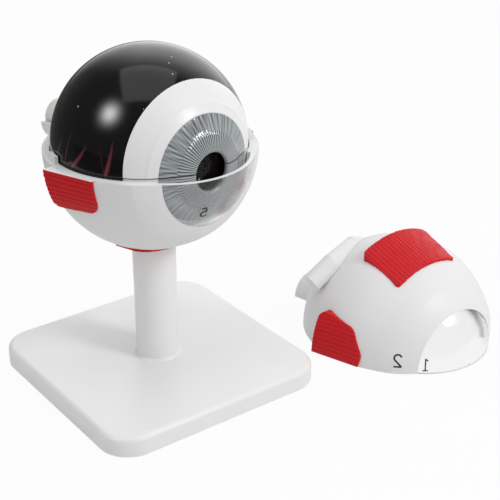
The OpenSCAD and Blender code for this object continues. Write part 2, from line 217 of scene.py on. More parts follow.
def globe_frame(rise=0.0):
    """Frame of the globe on its post: the eye looks along -Y from the globe's centre."""
    s = sizes()
    return Matrix.Translation((0, 0, s.globe_height + rise)) @ Matrix.Rotation(s.globe_turn, 4, "Z")


def bowl_frame():
    """Frame of the lower half of the inner ball."""
    return globe_frame(sizes().ball_rise)


def dome_frame():
    """Frame of the upper half of the inner ball."""
    return globe_frame(sizes().ball_rise + sizes().split_gap)


def lifted_frame():
    """Frame of the lifted shell on the table."""
    s = sizes()
    place = Matrix.Translation((s.lifted_x, s.lifted_y, 0))
    return place @ Matrix.Rotation(s.lifted_turn, 4, "Z")


# ---------- meshes ----------


def make_object(name, verts, faces, place=None, smooth_angle=30.0):
    """A mesh object with its place in its vertices, smooth but for its sharp edges."""
    verts = np.asarray(verts, float)
    if place is not None:
        m = np.array(place)
        verts = verts @ m[:3, :3].T + m[:3, 3]
    mesh = bpy.data.meshes.new(name)
    mesh.from_pydata(verts.tolist(), [], faces)
    mesh.validate()
    obj = bpy.data.objects.new(name, mesh)
    bpy.context.collection.objects.link(obj)
    tidy_mesh(mesh, smooth_angle)
    return obj


def tidy_mesh(mesh, smooth_angle):
    """Turns faces outwards and marks the sharp edges."""
    bm = bmesh.new()
    bm.from_mesh(mesh)
    bmesh.ops.recalc_face_normals(bm, faces=bm.faces)
    limit = math.radians(smooth_angle)
    for face in bm.faces:
        face.smooth = True
    for edge in bm.edges:
        if len(edge.link_faces) == 2:
            edge.smooth = edge.calc_face_angle(0.0) < limit
    bm.to_mesh(mesh)
    bm.free()


def store(obj, name, values):
    """Keeps one number for each point of the mesh, for the materials to read."""
    attribute = obj.data.attributes.new(name, "FLOAT", "POINT")
    attribute.data.foreach_set("value", np.asarray(values, np.float32))


def arc(radius, first, last, count):
    """Points (across, ahead) of an arc round the globe's centre, by angle from the eye's axis."""
    angles = np.linspace(first, last, count)
    return np.stack([radius * np.sin(angles), radius * np.cos(angles)], axis=1)


def half_turn(name, outline, place, side, steps):
    """Turns a closed outline of (across, ahead) points half way round the eye's axis."""
    outline = np.asarray(outline, float)
    turn = np.linspace(0.0, math.pi, steps + 1)
    across = outline[:, 0][None, :]
    grid = np.stack(
        [
            across * np.cos(turn)[:, None],
            np.repeat(-outline[:, 1][None, :], steps + 1, axis=0),
            side * across * np.sin(turn)[:, None],
        ],
        axis=2,
    )
    count = len(outline)
    on_axis = outline[:, 0] < 1e-9
    index = np.arange((steps + 1) * count).reshape(steps + 1, count)
    index[:, on_axis] = index[0, on_axis]
    faces = []
    for i in range(steps):
        for j in range(count):
            k = (j + 1) % count
            if on_axis[j] and on_axis[k]:
                continue
            ring = [index[i, j], index[i, k], index[i + 1, k], index[i + 1, j]]
            faces.append([int(v) for n, v in enumerate(ring) if v not in ring[:n]])
    faces.append([int(v) for v in index[0]])
    faces.append([int(v) for v in index[steps][::-1]])
    used = np.unique(np.concatenate([np.array(f) for f in faces]))
    renumber = {int(old): new for new, old in enumerate(used)}
    verts = grid.reshape(-1, 3)[used]
    faces = [[renumber[v] for v in f] for f in faces]
    obj = make_object(name, verts, faces, place)
    return obj, verts


def half_turns(side, share, across, ahead, dip):
    """Angles round the dipped axis, from one end to the other of a half that stops at its seam."""
    rise = (side * ahead * math.sin(dip) + sizes().seam_play) / (across * math.cos(dip))
    first = np.arcsin(np.clip(rise, -1, 1))
    return first + (math.pi - 2 * first) * share


def dipped_ring(side, turn, across, ahead, dip):
    """Points (across, ahead) turned round the eye's axis, and dipped about the globe's centre."""
    y = -ahead + 0 * turn
    z = side * across * np.sin(turn)
    c, s = math.cos(dip), math.sin(dip)
    return np.stack([across * np.cos(turn), y * c - z * s, y * s + z * c], axis=-1)


def direction(lon, lat):
    """Unit vector at a longitude from the eye's front towards its left, and a latitude."""
    return np.stack([np.cos(lat) * np.sin(lon), -np.cos(lat) * np.cos(lon), np.sin(lat)], axis=-1)


def coat_outline(radius, wall, first, outer_steps, inner_steps):
    """Section of a coat from an angle off the eye's axis to the back of the globe."""
    outer = arc(radius, first, math.pi, outer_steps)
    inner = arc(radius - wall, math.pi, first, inner_steps)
    outer[-1, 0] = 0.0
    inner[0, 0] = 0.0
    return np.concatenate([outer, inner])


# ---------- shader parts ----------


MADE = {}


def once(make, *values):
    """What a function makes from some values, made the first time and then shared."""
    key = (make,) + values
    if key not in MADE:
        MADE[key] = make(*values)
    return MADE[key]


def feed(tree, socket, value):
    """Gives a socket a value, or a link from another socket."""
    if isinstance(value, bpy.types.NodeSocket):
        tree.links.new(value, socket)
    else:
        socket.default_value = value


def add(tree, kind, settings=None, **inputs):
    """Adds a node. An input is named with _ for a space, or by its number, as in i0."""
    node = tree.nodes.new("ShaderNode" + kind)
    for key, value in (settings or {}).items():
        setattr(node, key, value)
    for key, value in inputs.items():
        numbered = key[0] == "i" and key[1:].isdigit()
        feed(tree, node.inputs[int(key[1:]) if numbered else key.replace("_", " ")], value)
    return node


def maths(tree, operation, first, second):
    """Sum, product or the like of two values."""
    return add(tree, "Math", {"operation": operation}, i0=first, i1=second).outputs[0]


def along_way(tree, place, way):
    """How far a place lies along a direction."""
    return add(tree, "VectorMath", {"operation": "DOT_PRODUCT"}, i0=place, i1=way).outputs["Value"]


def spread(tree, value, low, high, to_low, to_high):
    """Maps a value from one range to another, held at its ends."""
    ends = {"From_Min": low, "From_Max": high, "To_Min": to_low, "To_Max": to_high}
    return add(tree, "MapRange", Value=value, **ends).outputs["Result"]


def blend_colours(tree, factor, first, second):
    """The first colour at 0, the second at 1."""
    node = add(tree, "Mix", {"data_type": "RGBA"}, Factor=factor, i6=first, i7=second)
    return node.outputs[2]


def blend_values(tree, factor, first, second):
    """The first value at 0, the second at 1."""
    node = add(tree, "Mix", {"data_type": "FLOAT"}, Factor=factor, i2=first, i3=second)
    return node.outputs[0]


def mixed_surface(tree, factor, first, second):
    """Ends a material in a mix of two shaders: the first at 0, the second at 1."""
    mixed = add(tree, "MixShader", i0=factor, i1=first.outputs[0], i2=second.outputs[0])
    tree.links.new(mixed.outputs[0], tree.nodes["Material Output"].inputs["Surface"])


def rgba(rgb):
    """A colour with full opacity."""
    return (rgb[0], rgb[1], rgb[2], 1.0)


def new_group(name, inputs):
    """An empty node group for a finish, with its inputs as (name, kind, default)."""
    kinds = {"colour": "NodeSocketColor", "value": "NodeSocketFloat"}
    tree = bpy.data.node_groups.new(name, "ShaderNodeTree")
    for label, kind, default in inputs:
        socket = tree.interface.new_socket(name=label, in_out="INPUT", socket_type=kinds[kind])
        socket.default_value = default
    for label, kind in (("Color", "colour"), ("Roughness", "value"), ("Height", "value")):
        tree.interface.new_socket(name=label, in_out="OUTPUT", socket_type=kinds[kind])
    tree.nodes.new("NodeGroupInput").name = "In"
    tree.nodes.new("NodeGroupOutput").name = "Out"
    return tree


def end_group(tree, colour, roughness, height):
    """Links what a finish's group gives out."""
    for label, value in (("Color", colour), ("Roughness", roughness), ("Height", height)):
        tree.links.new(value, tree.nodes["Out"].inputs[label])


def moulded_group():
    """Moulded plastic: faint mottle in the colour, uneven gloss and a fine skin."""
    tree = new_group(
        "Moulded Plastic",
        [
            ("Color", "colour", (0.8, 0.8, 0.8, 1)),
            ("Mottle", "value", 0.03),
            ("Gloss", "value", 0.35),
            ("Gloss Spread", "value", 0.08),
            ("Skin Scale", "value", 900.0),
            ("Skin Depth", "value", 0.3),
        ],
    )
    inside = tree.nodes["In"].outputs
    place = add(tree, "TexCoord").outputs["Object"]
    cloud = add(tree, "TexNoise", Vector=place, Scale=38.0, Detail=4.0).outputs["Fac"]
    skin = add(tree, "TexNoise", Vector=place, Scale=inside["Skin Scale"], Detail=2.0)
    shade = maths(tree, "MULTIPLY", spread(tree, cloud, 0.3, 0.7, 0.0, 1.0), inside["Mottle"])
    dark = add(tree, "HueSaturation", Color=inside["Color"], Value=0.8).outputs["Color"]
    swing = spread(tree, cloud, 0.3, 0.7, -1.0, 1.0)
    swing = maths(tree, "MULTIPLY", swing, inside["Gloss Spread"])
    end_group(
        tree,
        blend_colours(tree, shade, inside["Color"], dark),
        maths(tree, "ADD", inside["Gloss"], swing),
        maths(tree, "MULTIPLY", skin.outputs["Fac"], inside["Skin Depth"]),
    )
    return tree


def brushed_paint_group():
    """Hand paint: brush streaks, thin places and small specks over a colour."""
    tree = new_group(
        "Brushed Paint",
        [
            ("Color", "colour", (0.6, 0.02, 0.02, 1)),
            ("Pooled Color", "colour", (0.3, 0.01, 0.01, 1)),
            ("Pooling", "value", 0.0),
            ("Unevenness", "value", 0.3),
            ("Scale", "value", 120.0),
            ("Gloss", "value", 0.35),
        ],
    )
    inside = tree.nodes["In"].outputs
    place = add(tree, "TexCoord").outputs["Object"]
    strokes = add(
        tree, "TexNoise", Vector=place, Scale=inside["Scale"], Detail=5.0, Distortion=0.6
    ).outputs["Fac"]
    thin = spread(tree, strokes, 0.35, 0.75, 0.0, 1.0)
    patchy = maths(tree, "MULTIPLY", thin, inside["Unevenness"])
    # Darkening: the retina's vessels, and painted shade in the grooves of the iris and the muscles
    pooled = maths(tree, "MAXIMUM", patchy, inside["Pooling"])
    end_group(
        tree,
        blend_colours(tree, pooled, inside["Color"], inside["Pooled Color"]),
        maths(tree, "ADD", inside["Gloss"], spread(tree, strokes, 0.3, 0.7, -0.05, 0.05)),
        strokes,
    )
    return tree


def place_group(tree, make_group, **inputs):
    """Places a finish's node group in a material, with its own values."""
    node = tree.nodes.new("ShaderNodeGroup")
    node.node_tree = once(make_group)
    for key, value in inputs.items():
        feed(tree, node.inputs[key.replace("_", " ")], value)
    return node


def new_material(name, **constants):
    """A material with one Principled shader, and constants set on the shader's own sockets."""
    material = bpy.data.materials.new(name)
    material.use_nodes = True
    shader = material.node_tree.nodes["Principled BSDF"]
    for key, value in constants.items():
        shader.inputs[key.replace("_", " ")].default_value = value
    return material, material.node_tree, shader


def wire_finish(tree, shader, finish, bump):
    """Links a finish group's colour, roughness and height to the shader."""
    tree.links.new(finish.outputs["Color"], shader.inputs["Base Color"])
    tree.links.new(finish.outputs["Roughness"], shader.inputs["Roughness"])
    relief = add(tree, "Bump", Height=finish.outputs["Height"], Strength=bump, Distance=0.2 * MM)
    tree.links.new(relief.outputs["Normal"], shader.inputs["Normal"])


def attribute(tree, name):
    """The number that each point of a mesh keeps under a name."""
    return add(tree, "Attribute", {"attribute_name": name}).outputs["Fac"]


# Moulded finishes: the colour's name, the gloss, the strength of the skin's relief, and what the
# shader needs besides
MOULDED = {
    "stand_moulded": ("stand_white", 0.42, 0.15, {}),
    "shell_moulded": ("shell_white", 0.5, 0.15, {"Specular_IOR_Level": 0.35}),
    "band_moulded": ("band_white", 0.3, 0.06, {"Specular_IOR_Level": 0.35}),
    "nerve_moulded": ("nerve_white", 0.3, 0.15, {}),
    "steel_brushed": ("steel", 0.28, 0.15, {"Metallic": 1.0}),
    "frosted_cut": ("cut_white", 0.4, 0.15, {}),
    "ink": ("ink", 0.5, 0.15, {}),
    "dust": ("dust", 0.8, 0.15, {}),
}


def moulded(name):
    """A plain moulded finish from the table above."""
    rgb, gloss, bump, constants = MOULDED[name]
    material, tree, shader = new_material(name, **constants)
    rgb = rgba(getattr(colours(), rgb))
    finish = place_group(tree, moulded_group, Color=rgb, Mottle=0.05, Gloss=gloss, Skin_Depth=0.3)
    wire_finish(tree, shader, finish, bump)
    return material


def painted(name, rgb, pooled, bump, darkened_in=None, specular=0.5, **values):
    """Brushed paint. darkened is its colour where the paint is thick, and darkened_in names the
    number of
    each point that says where it also shows: the retina's vessels, and the painted shade in the
    grooves of the iris and the muscles. values are the paint group's own."""
    material, tree, shader = new_material(name, Specular_IOR_Level=specular)
    paint = place_group(tree, brushed_paint_group, **values)
    feed(tree, paint.inputs["Color"], rgba(rgb))
    feed(tree, paint.inputs["Pooled Color"], rgba(pooled))
    if darkened_in:
        feed(tree, paint.inputs["Pooling"], attribute(tree, darkened_in))
    wire_finish(tree, shader, paint, bump)
    return material


def paint_over(material, mask, rgb):
    """Lays a colour over a finish, where a number of each point says so."""
    tree = material.node_tree
    base = tree.nodes["Principled BSDF"].inputs["Base Color"]
    under = base.links[0].from_socket
    tree.links.new(blend_colours(tree, attribute(tree, mask), under, rgba(rgb)), base)


def coat_paint():
    """Glossy black paint with red vessel strokes, and grey strokes that are painted reflections."""
    c = colours()
    pooled = [0.7 * v for v in c.coat_black]
    material = painted(
        "coat_painted", c.coat_black, pooled, 0.02, Unevenness=0.5, Scale=60.0, Gloss=0.12
    )
    # grey painted reflections, then the red vessel strokes over them
    paint_over(material, "grey_stroke", c.vessel_grey)
    paint_over(material, "red_stroke", c.vessel_red)
    return material


def muscle_paint():
    """Red paint, darker in the grooves between the fibres as painted shade; the cut faces are left
    white.
    """
    c = colours()
    material = painted(
        "muscle_painted", c.muscle_red, c.groove_red, 0.12, "groove", 0.25,
        Unevenness=0.18, Scale=260.0, Gloss=0.42,
    )
    paint_over(material, "bare_rim", c.shell_white)
    return material


def iris_paint():
    """Blue-grey paint, lighter on the crests of the pleats and darker in their grooves: painted
    light and shade.
    """
    c = colours()
    return painted(
        "iris_painted", c.iris_light, c.iris_dark, 0.1, "fold_shade", 0.8,
        Unevenness=0.15, Scale=420.0, Gloss=0.19,
    )


def retina_paint():
    """Red paint with darker vessels."""
    c = colours()
    return painted(
        "retina_painted", c.retina_red, c.retina_vessel, 0.1, "vessel",
        Unevenness=0.25, Scale=90.0, Gloss=0.45,
    )


def ciliary_paint():
    """Brown paint, darker where it is thick."""
    brown = colours().ciliary_brown
    pooled = [0.4 * v for v in brown]
    return painted(
        "ciliary_painted", brown, pooled, 0.2, Unevenness=0.6, Scale=300.0, Gloss=0.45
    )


def clear_plastic(name, rgb, roughness, bending):
    """Clear plastic that lets lamp light through to what it covers."""
    material, tree, shader = new_material(name, Transmission_Weight=1.0, IOR=bending)
    finish = place_group(
        tree,
        moulded_group,
        Color=rgba(rgb),
        Mottle=0.02,
        Gloss=roughness,
        Gloss_Spread=roughness * 0.4,
        Skin_Depth=0.1,
    )
    wire_finish(tree, shader, finish, 0.02)
    light = add(tree, "LightPath").outputs
    passing = maths(tree, "MAXIMUM", light["Is Shadow Ray"], light["Is Diffuse Ray"])
    through = add(tree, "BsdfTransparent", Color=(0.96, 0.97, 0.97, 1))
    mixed_surface(tree, passing, shader, through)
    return material


def dress(material, *nodes):
    """Gives CAD nodes a material."""
    for name in nodes:
        for slot in NODES[name].material_slots:
            slot.material = material


def fit_piece(obj, material, body, slot, *replaced):
    """Gives a new piece its material and its body, and hides the nodes that it stands for; slot is
    not used.
    """
    obj.data.materials.append(material)
    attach(obj, body)
    if replaced:
        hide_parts(*replaced)


# ---------- coats of the inner ball ----------


def stroke_mask(points, radius, start, end, base_width, bend, strength):
    """How much of a tapering brush stroke covers each point of a ball: 0 to 1.

    start and end are (longitude, latitude) in degrees; widths are in metres."""
    steps = 40
    least = 0.04 * MM
    feather = 0.1 * MM
    cover = np.zeros(len(points))
    first, last = np.radians(start), np.radians(end)
    for i in range(steps + 1):
        t = i / steps
        lon = first[0] + (last[0] - first[0]) * t + math.radians(bend) * math.sin(math.pi * t)
        lat = first[1] + (last[1] - first[1]) * t
        middle = radius * direction(lon, lat)
        half = 0.5 * base_width * (1 - t) ** 0.7 * (0.75 + 0.5 * min(1.0, 5 * t)) + least
        gap = np.linalg.norm(points - middle, axis=1)
        edge = half * 1.2 + feather
        inside = np.clip((edge - gap) / (edge - 0.7 * half), 0, 1)
        cover = np.maximum(cover, strength * (1 - 0.6 * t) * inside)
    return cover


# Strokes on the black coat, red vessels and grey painted reflections: where each starts near the
# seam and where it ends (longitude and latitude), its width in millimetres, its bend in degrees and
# its strength
RED_STROKES = (
    ((-91.7, 2.2), (-87.7, 21.0), 0.45, 0.0, 0.6),
    ((-84.8, 1.3), (-75.0, 14.9), 1.2, 1.0, 1.0),
    ((-62.8, 1.4), (-66.5, 18.0), 0.35, 0.0, 0.25),
    ((-61.9, 0.9), (-58.1, 19.0), 1.15, 0.6, 1.0),
    ((74.0, 1.0), (70.0, 15.0), 1.2, -0.8, 1.0),
    ((92.0, 1.0), (88.0, 19.0), 0.6, 0.0, 0.7),
    ((128.0, 1.0), (122.0, 17.0), 1.2, 0.8, 1.0),
    ((-128.0, 1.0), (-124.0, 17.0), 1.0, 0.5, 0.8),
    ((155.0, 1.0), (158.0, 13.0), 0.7, 0.0, 0.7),
)
# Grey strokes: painted reflections on the gloss black
REFLECTION_STROKES = (
    ((-99.9, 4.3), (-95.7, 15.4), 1.3, 0.0, 0.7),
    ((-101.0, 1.0), (-99.5, 9.0), 0.8, 0.0, 0.6),
    ((108.0, 1.0), (111.0, 12.0), 0.9, 0.0, 0.6),
)


def build_choroid(side, place, body, node):
    """Black coat, its red vessel strokes and grey painted reflections laid on up from the seam."""
    s = sizes()
    outline = coat_outline(s.coat_radius, s.coat_wall, s.band_angle, 210, 70)
    obj, points = half_turn(node + "_coat", outline, place, side, 300)
    mirrored = points * np.array([1, 1, side])
    outside = np.linalg.norm(points, axis=1) > s.coat_radius - 0.3 * MM
    for name, strokes in (("red_stroke", RED_STROKES), ("grey_stroke", REFLECTION_STROKES)):
        cover = np.zeros(len(points))
        for start, end, width, bend, strength in strokes:
            mask = stroke_mask(mirrored, s.coat_radius, start, end, width * MM, bend, strength)
            cover = np.maximum(cover, mask)
        store(obj, name, cover * outside)
    fit_piece(obj, once(coat_paint), body, "choroid_black", node)


def strip_faces(rows, count):
    """Faces of a grid of points whose rows are closed outlines, with its two ends filled."""
    faces = []
    for i in range(rows - 1):
        for j in range(count):
            k = (j + 1) % count
            a = i * count
            faces.append((a + j, a + k, a + count + k, a + count + j))
    last = (rows - 1) * count
    faces.append(tuple(range(count)))
    faces.append(tuple(range(last + count - 1, last - 1, -1)))
    return faces


def build_band(side, place, body, node):
    """White band from the iris to the black coat, with a rounded rim and a soft raised ring."""
    s = sizes()
    share = np.linspace(0, 1, 221)[:, None]
    width = s.coat_radius * (s.band_angle - math.asin(s.iris_radius / s.coat_radius))
    rim_round = s.band_rim_round / width
    corner = rim_round * (1 - np.cos(np.linspace(0, math.pi / 2, 6)[:-1]))
    along = np.concatenate([corner, np.linspace(rim_round, 1, 60)])
    fall = np.clip(1 - along / rim_round, 0, 1)
    lift = s.band_ring_height * np.exp(-(((along - s.band_ring) / s.band_ring_width) ** 2))
    lift -= s.band_rim_round * (1 - np.sqrt(1 - fall**2))

    def surface(radius, along, lift):
        """Points of one side of the band, from its dipped inner rim to its level outer edge."""
        rim = s.iris_radius + s.fit
        ends = []
        for across, dip in ((rim, s.iris_dip), (radius * math.sin(s.band_angle), 0.0)):
            ahead = math.sqrt(radius**2 - across**2)
            turn = half_turns(side, share, across, ahead, dip)
            ends.append(dipped_ring(side, turn, across, ahead, dip))
        part = along[None, :, None]
        points = ends[0] * (1 - part) + ends[1] * part
        return points * ((radius + lift)[:, None] / np.linalg.norm(points, axis=2, keepdims=True))

    back = np.linspace(1, 0, 24)
    front = surface(s.coat_radius, along, lift)
    grid = np.concatenate([front, surface(s.coat_radius - s.band_wall, back, 0 * back)], axis=1)
    rows, count = grid.shape[:2]
    obj = make_object(node + "_ring", grid.reshape(-1, 3), strip_faces(rows, count), place)
    fit_piece(obj, once(moulded, "band_moulded"), body, "band_white", node)


def smooth_step(value):
    """Rises softly from 0 to 1 as the value does."""
    value = np.clip(value, 0, 1)
    return value * value * (3 - 2 * value)


PLEAT_SWING = 14  # fewer, wider pleats towards the nose by this much, and more towards the temple
SHOULDER = 0.14  # run of the iris's shoulder, as a share of the way from pupil to edge
EDGE = 0.05  # run of the iris's plain edges, likewise
IRIS_STEPS = 960  # steps of the mesh round half the iris


def iris_relief(across, turn):
    """Height of the iris's pleats and collar, and the painted shade of each point: darker in the
    folds, lighter on the crests.
    """
    s = sizes()
    rng = random.Random(7)
    t = (across - s.pupil_radius) / (s.iris_radius - s.pupil_radius)
    inner = smooth_step((s.collar_share - t) / (SHOULDER / 2) + 0.5)
    slope = (s.collar_share - t) / SHOULDER
    plateau = sum(np.clip(slope + k, 0, 1) for k in (0.35, 0.5, 0.65)) / 3
    from_pupil = np.clip(t / EDGE, 0, 1)
    edge = from_pupil * np.clip((1 - t) / EDGE, 0, 1)
    wobble = sum(
        rng.uniform(0.2, 0.5) * np.sin(k * turn + rng.uniform(0, math.tau)) for k in (3, 7, 11, 17)
    )
    fine = np.cos(s.pleat_count * turn + PLEAT_SWING * np.sin(turn) + wobble)
    coarse = np.zeros_like(turn)
    for k in (43, 58, 71, 88):
        drift = rng.uniform(-2.2, 2.2) * t * 3
        coarse = coarse + rng.uniform(0.5, 1.0) * np.sin(k * turn + drift + rng.uniform(0, 6.3))
    coarse = coarse / 2.2
    off_temple = np.abs(np.arctan2(np.sin(turn), np.cos(turn)))
    worn = 1 - smooth_step((off_temple - 0.25) / 0.75)
    pleats = 1 - 0.9 * worn
    depth = s.pleat_depth * across / (s.iris_radius * 0.7)
    height = edge * 0.5 * depth * (inner * fine * pleats + 0.5 * (1 - inner) * coarse)
    height = height + s.collar_height * plateau * from_pupil
    patch = sum(
        rng.uniform(0.5, 1) * np.sin(k * turn + rng.uniform(0, 6.3) + 4 * t)
        for k in (2, 5, 9, 23, 41)
    )
    # Painted light and shade: lighter on the crests, darker in the grooves; patch is the paint's
    # own uneven tone
    inside = 0.46 - 0.7 * fine * pleats + 0.03 * worn
    outside = 0.42 - 0.42 * coarse * (1 - 0.75 * worn) + 0.08 * patch
    shade = np.clip(inner * inside + (1 - inner) * outside, 0, 1)
    return height, shade


def build_iris(side, place, body, node):
    """Pleated iris: front with pleats and collar, plain back, closed at its edges."""
    s = sizes()
    collar = s.collar_share
    inner_rings = np.linspace(0, collar - 0.11, 20)
    shoulder_rings = np.linspace(collar - 0.1, collar + 0.1, 21)
    outer_rings = np.linspace(collar + 0.11, 1, 18)
    along = np.concatenate([inner_rings, shoulder_rings, outer_rings])
    rings = len(along)
    across = (s.pupil_radius + along * (s.iris_radius - s.pupil_radius))[None, :]
    share = np.linspace(0, 1, IRIS_STEPS + 1)[:, None]
    rim = s.iris_radius + s.fit
    centre = math.sqrt(s.coat_radius**2 - rim**2) - math.sqrt(s.iris_curve**2 - rim**2)
    sheets = []
    for curve in (s.iris_curve, s.iris_curve - s.iris_thickness):
        ahead = centre + np.sqrt(curve**2 - across**2)
        turn = half_turns(side, share, across, ahead, s.iris_dip)
        if not sheets:
            height, shade = iris_relief(across + 0 * turn, side * turn)
            ahead = ahead + height
        sheets.append(dipped_ring(side, turn, across, ahead, s.iris_dip).reshape(-1, 3))
    half = (IRIS_STEPS + 1) * rings
    faces = []
    for i in range(IRIS_STEPS):
        for j in range(rings - 1):
            a = i * rings + j
            faces.append((a, a + 1, a + rings + 1, a + rings))
            faces.append((half + a, half + a + rings, half + a + rings + 1, half + a + 1))
        for j in (0, rings - 1):
            a = i * rings + j
            faces.append((a, a + rings, half + a + rings, half + a))
    for i in (0, IRIS_STEPS):
        for j in range(rings - 1):
            a = i * rings + j
            faces.append((a, half + a, half + a + 1, a + 1))
    obj = make_object(node + "_pleats", np.concatenate(sheets), faces, place, 50.0)
    # fold_shade carries the iris's painted light and shade
    store(obj, "fold_shade", np.concatenate([shade.reshape(-1), np.full(half, 0.5)]))
    fit_piece(obj, once(iris_paint), body, "iris_grey", node)


# ---------- cornea ----------


CUT_HEIGHT = 0.04 * MM
CUT_INSET = 0.02 * MM  # how far the frosted strip stays inside the cornea's outer face


def build_cut_face(name, place, body):
    """Frosted cut face of half a cornea: a thin arched strip on the rim plane."""
    s = sizes()
    inner = s.cornea_radius - s.cornea_wall + s.fit
    outer = s.cornea_radius - CUT_INSET
    corners = ((inner, 0.0), (inner, CUT_HEIGHT), (outer, CUT_HEIGHT), (outer, 0.0))
    grid = []
    for part in np.linspace(-1, 1, 121):
        for radius, height in corners:
            turn = part * math.asin(s.limbus_radius / radius)
            ahead = s.cornea_ahead + radius * math.cos(turn)
            grid.append((radius * math.sin(turn), -ahead, height))
    obj = make_object(name, grid, strip_faces(len(grid) // 4, 4), place)
    fit_piece(obj, once(moulded, "frosted_cut"), body, "clear_plastic")


# ---------- muscles ----------


# The dark red in a groove is painted shade
GROOVE_HALF = 0.24 * MM  # half width of the dark paint in a groove
BARE_RIM = 0.3 * MM  # height above the rim plane up to which the cut faces stay bare
BARE_FEATHER = 0.12 * MM  # softness of the paint's edge there


def onto_bar(points, away):
    """Turns points of the globe's frame so that a muscle's own bar lies over the globe.

    away is the side of the globe that the muscle lies on: the axis and its sign."""
    x, y, z = points.T
    axis, sign = away
    if axis == "x":
        return np.stack([-sign * z, y, sign * x], axis=1)
    return np.stack([x, y, sign * z], axis=1)


def build_muscle(node, body, place, away, tilt):
    """Muscle pad: the CAD pad's own form with its edges and ribs rounded as paint rounds them."""
    s = sizes()
    mesh = NODES[node].data.copy()
    obj = bpy.data.objects.new(node + "_pad", mesh)
    bpy.context.collection.objects.link(obj)
    obj.data.materials.clear()
    voxels = obj.modifiers.new("rounding", "REMESH")
    voxels.mode = "VOXEL"
    voxels.voxel_size = s.muscle_round
    soften = obj.modifiers.new("soften", "SMOOTH")
    soften.factor = 0.5
    soften.iterations = 2
    graph = bpy.context.evaluated_depsgraph_get()
    rounded = bpy.data.meshes.new_from_object(obj.evaluated_get(graph))
    obj.modifiers.clear()
    obj.data = rounded
    rounded.name = obj.name
    for face in rounded.polygons:
        face.use_smooth = True
    points = np.empty(len(rounded.vertices) * 3)
    rounded.vertices.foreach_get("co", points)
    inverse = np.array(place.inverted())
    local = points.reshape(-1, 3) @ inverse[:3, :3].T + inverse[:3, 3]
    on_bar = onto_bar(local, away)
    height = on_bar[:, 2] * math.cos(tilt) - on_bar[:, 1] * math.sin(tilt)
    across = np.arctan2(on_bar[:, 0], height) * s.muscle_radius
    offset = np.abs((across / s.rib_pitch + 0.5) % 1.0 - 0.5) * s.rib_pitch
    # groove: painted shade, darker red in the grooves between the ribs
    store(obj, "groove", np.clip(1.1 - offset / GROOVE_HALF, 0, 1))
    store(obj, "bare_rim", np.clip((BARE_RIM - np.abs(local[:, 2])) / BARE_FEATHER, 0, 1))
    fit_piece(obj, once(muscle_paint), body, "muscle_red", node)


# ---------- printed numerals and dust ----------


def arc_points(centre, radius, first, last, count=14):
    """Points of an arc, by angle in degrees from its right."""
    angles = np.radians(np.linspace(first, last, count))
    return [(centre[0] + radius * math.cos(a), centre[1] + radius * math.sin(a)) for a in angles]


def numeral_strokes(digit):
    """Centre lines of a plain numeral, in a box one unit high."""
    if digit == 1:
        return [[(-0.2, 0.82), (0.0, 0.98), (0.0, 0.03)], [(-0.2, 0.03), (0.2, 0.03)]]
    if digit == 2:
        bowl = arc_points((0.0, 0.72), 0.26, 165, -35)
        return [bowl + [(-0.27, 0.05)], [(-0.29, 0.05), (0.29, 0.05)]]
    bowl = arc_points((-0.02, 0.32), 0.28, 115, -150, 18)
    return [[(0.22, 0.95), (-0.16, 0.95), (-0.2, 0.53)] + bowl]


def ribbon(points, width):
    """Left and right edges of a flat ribbon along a path, with mitred corners."""
    points = np.asarray(points, float)
    ahead = np.gradient(points, axis=0)
    ahead /= np.linalg.norm(ahead, axis=1)[:, None]
    aside = np.stack([-ahead[:, 1], ahead[:, 0]], axis=1) * width / 2
    return points + aside, points - aside


def resample(points, step):
    """Points of a path at even steps."""
    points = np.asarray(points, float)
    gaps = np.linalg.norm(np.diff(points, axis=0), axis=1)
    along = np.concatenate([[0], np.cumsum(gaps)])
    want = np.linspace(0, along[-1], max(2, int(along[-1] / step) + 1))
    return np.stack([np.interp(want, along, points[:, k]) for k in (0, 1)], axis=1)


def build_numeral(name, digit, height, stroke, lon, lat, centre, place, node, body, slot):
    """Numeral printed on a ball, mirrored left to right as on this model.

    lon and lat give its middle, in degrees, seen from the ball's centre; stroke is the width of
    its strokes against the usual one; node is the part that it is printed on."""
    s = sizes()
    lon, lat = math.radians(lon), math.radians(lat)
    middle = direction(lon, lat)
    right = np.array([math.cos(lon), math.sin(lon), 0.0])
    up = np.cross(right, -middle)
    up = up / np.linalg.norm(up) * (1 if up[2] > 0 else -1)
    mesh = NODES[node].data
    tree = BVHTree.FromPolygons([v.co for v in mesh.vertices], [f.vertices for f in mesh.polygons])
    turn = place.to_3x3()

    def surface_radius(way):
        """Distance from the ball's centre to the part's outer surface."""
        start = place @ Vector(centre + way * 2 * s.globe_radius)
        hit = tree.ray_cast(start, turn @ Vector(-way))
        return 2 * s.globe_radius - hit[3]

    radius = surface_radius(middle)
    verts, faces = [], []
    for path in numeral_strokes(digit):
        path = resample(np.asarray(path) * height, 0.12 * MM)
        left, other = ribbon(path, s.ink_width * stroke)
        first, proud = len(verts), s.ink_proud
        for corners in zip(left, other, other, left):
            for (x, y), layer in zip(corners, (proud, proud, -proud, -proud)):
                spot = middle * radius - right * x + up * (y - height / 2)
                way = spot / np.linalg.norm(spot)
                verts.append(centre + way * (surface_radius(way) + layer))
        faces += [[first + v for v in face] for face in strip_faces(len(path), 4)]
    obj = make_object(name, verts, faces, place)
    fit_piece(obj, once(moulded, "ink"), body, slot)


# Specks of dust on the black coat: longitude and latitude in degrees, and radius in millimetres
DUST = (
    (8.6, 70.2, 0.3), (-4.9, 66.2, 0.27), (-9.8, 57.9, 0.28), (-90.0, 34.0, 0.27),
    (-40.0, 38.0, 0.14),
)


